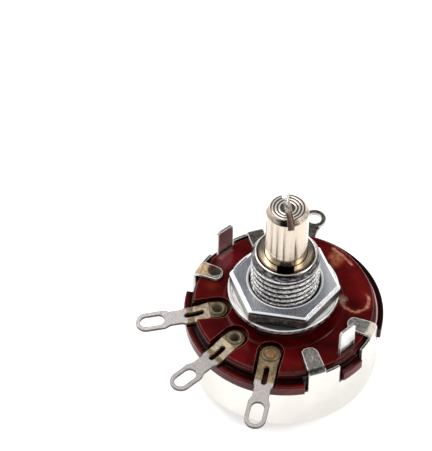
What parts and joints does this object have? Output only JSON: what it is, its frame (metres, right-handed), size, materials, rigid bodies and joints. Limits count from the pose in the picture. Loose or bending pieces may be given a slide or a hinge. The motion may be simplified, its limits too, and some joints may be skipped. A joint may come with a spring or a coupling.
{
  "type": "rotary potentiometer",
  "caption": "Panel-mount rotary potentiometer with slotted round shaft, threaded bushing, nut, washer, riveted solder lugs and a metal can.",
  "frame": {"origin": "centre of the can's flat back, on the shaft's axis", "axes": "+Z along the shaft towards its slotted end, middle terminal towards -Y, standing lugs near +X and -X"},
  "size_m": [0.0288, 0.0397, 0.0335],
  "materials": {
    "can_plate": "satin nickel plate",
    "moulded_base": "glossy dark red phenolic",
    "bushing_metal": "nickel-plated brass",
    "nut_plate": "zinc-plated steel",
    "washer_plate": "plated steel",
    "shaft_metal": "polished nickel plate",
    "ring_metal": "plated spring steel",
    "terminal_tin": "tinned brass",
    "rivet_metal": "tinned brass with dried flux",
    "board_laminate": "phenolic laminate",
    "carbon_film": "carbon film",
    "silver_film": "silver film",
    "carrier_plastic": "dark moulding",
    "spring_bronze": "spring bronze",
    "brush_carbon": "carbon",
    "spring_steel": "spring steel"
  },
  "bodies": {
    "housing": {"dust_cover": "can_plate", "base": "moulded_base", "bushing": "bushing_metal", "mounting_nut": "nut_plate", "flat_washer": "washer_plate", "terminal_left": "terminal_tin", "terminal_middle": "terminal_tin", "terminal_right": "terminal_tin", "eyelet_left": "rivet_metal", "eyelet_middle": "rivet_metal", "rivet_right": "rivet_metal", "element_board": "board_laminate", "resistance_track": "carbon_film", "collector_ring": "silver_film", "thrust_washer": "washer_plate"},
    "rotor": {"shaft": "shaft_metal", "retaining_ring": "ring_metal", "rotor_carrier": "carrier_plastic", "wiper_spring": "spring_bronze", "track_brush": "brush_carbon", "collector_brush": "brush_carbon", "spring_washer": "spring_steel"}
  },
  "joints": [
    {"name": "shaft_turn", "type": "hinge", "parent": "housing", "child": "rotor", "pos_m": [0, 0, 0], "axis": [0, 0, 1], "range_deg": [-133, 133]}
  ]
}
